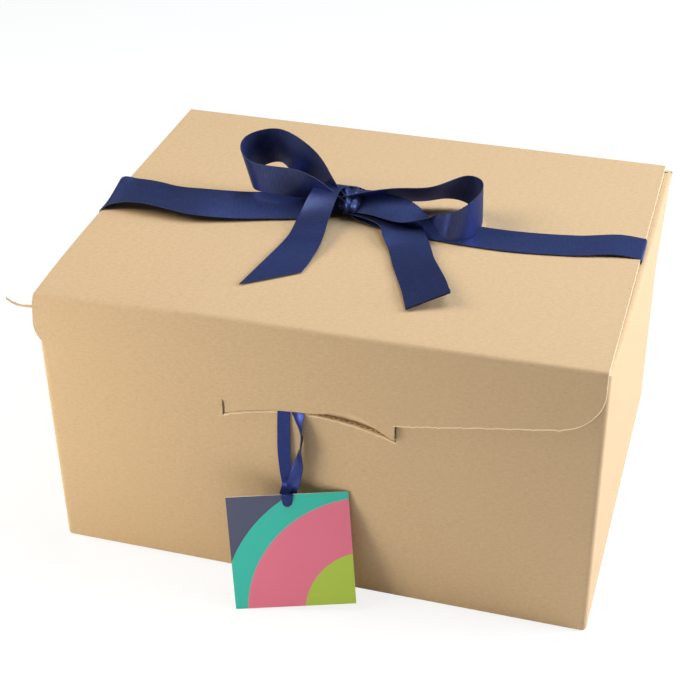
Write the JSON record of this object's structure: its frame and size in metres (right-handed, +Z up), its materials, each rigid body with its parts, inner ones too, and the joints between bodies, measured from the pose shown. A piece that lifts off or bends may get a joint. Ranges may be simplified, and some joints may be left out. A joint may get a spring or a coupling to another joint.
{
  "type": "bottle gift box",
  "caption": "Low corrugated board box with a hinged lid and tongued front flap, tied with a satin ribbon and bow, with a card tag on a narrow ribbon; holds bottles lying down.",
  "frame": {"origin": "middle of the outside of the base, on the surface that the box stands on", "axes": "+X along the width, to the right seen from the front; +Y from the front flap to the lid's hinge at the back; +Z up"},
  "size_m": [0.3319, 0.2912, 0.2275],
  "materials": {
    "kraft_board": "matte",
    "satin_ribbon": "satin",
    "printed_card": "matte"
  },
  "bodies": {
    "carton": {"carton": "kraft_board", "tag_ribbon_tuck": "satin_ribbon"},
    "lid": {"lid_panel": "kraft_board", "ribbon_bow": "satin_ribbon"},
    "flap": {"front_flap": "kraft_board"},
    "tag": {"tag": "printed_card", "tag_ribbon": "satin_ribbon"}
  },
  "joints": [
    {"name": "lid_hinge", "type": "hinge", "parent": "carton", "child": "lid", "pos_m": [0, 0.127, 0.1815], "axis": [-1, 0, 0], "range_deg": [0, 110]},
    {"name": "flap_fold", "type": "hinge", "parent": "lid", "child": "flap", "pos_m": [0, -0.127, 0.1815], "axis": [-1, 0, 0], "range_deg": [0, 85]},
    {"name": "tag_swing", "type": "hinge", "parent": "carton", "child": "tag", "pos_m": [0, -0.1255, 0.12435], "axis": [-1, 0, 0], "range_deg": [0, 60]}
  ],
  "couplings": [
    {"joint": "flap_fold", "follows": "lid_hinge", "ratio": 0.75}
  ]
}
